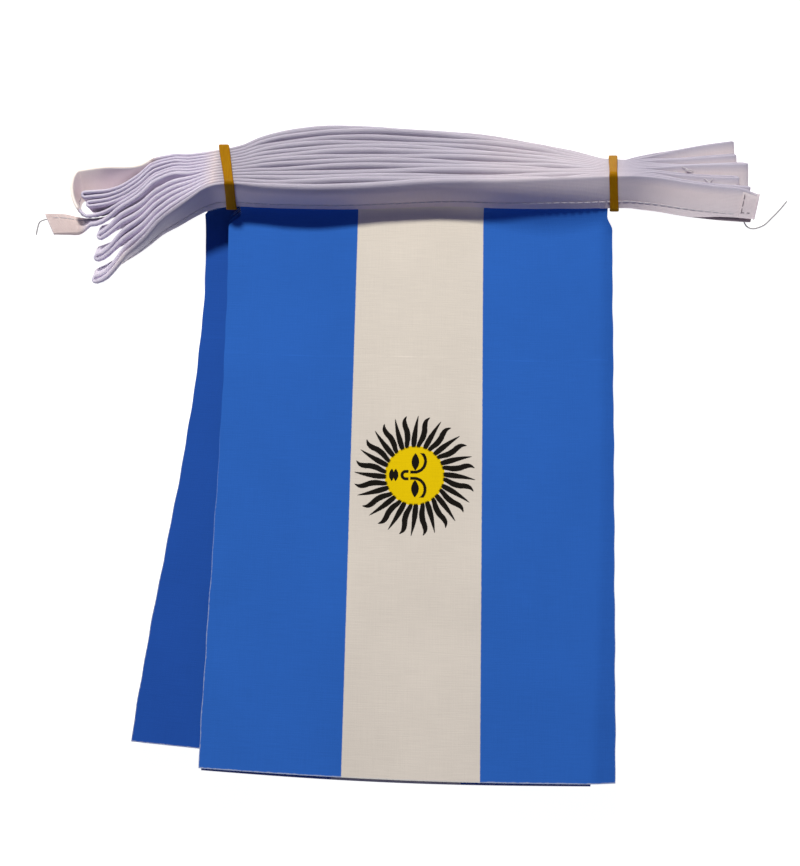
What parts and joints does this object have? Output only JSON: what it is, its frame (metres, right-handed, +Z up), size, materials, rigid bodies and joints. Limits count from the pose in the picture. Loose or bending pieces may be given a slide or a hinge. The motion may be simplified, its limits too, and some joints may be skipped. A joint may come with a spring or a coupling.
{
  "type": "flag bunting",
  "caption": "String of small striped flags sewn along a white tape, folded to and fro, lying flat and held by two rubber bands.",
  "frame": {"origin": "on the resting surface, under the middle of the flat length and width", "axes": "+X along the tape towards the hemmed end, +Y from the flags' free edges towards the tape, +Z up"},
  "size_m": [0.2546, 0.231, 0.033],
  "materials": {
    "tape": "white woven ribbon",
    "flag_01": "printed cloth",
    "flag_02": "printed cloth",
    "flag_03": "printed cloth",
    "flag_04": "printed cloth",
    "flag_05": "printed cloth",
    "flag_06": "printed cloth",
    "flag_07": "printed cloth",
    "flag_08": "printed cloth",
    "flag_09": "printed cloth",
    "flag_10": "printed cloth",
    "flag_11": "printed cloth",
    "flag_12": "printed cloth",
    "flag_13": "printed cloth",
    "band_left": "yellow rubber",
    "band_right": "yellow rubber"
  },
  "bodies": {
    "root": {"tape": "tape", "flag_01": "flag_01", "flag_02": "flag_02", "flag_03": "flag_03", "flag_04": "flag_04", "flag_05": "flag_05", "flag_06": "flag_06", "flag_07": "flag_07", "flag_08": "flag_08", "flag_09": "flag_09", "flag_10": "flag_10", "flag_11": "flag_11", "flag_12": "flag_12", "flag_13": "flag_13", "band_left": "band_left", "band_right": "band_right"}
  },
  "joints": []
}
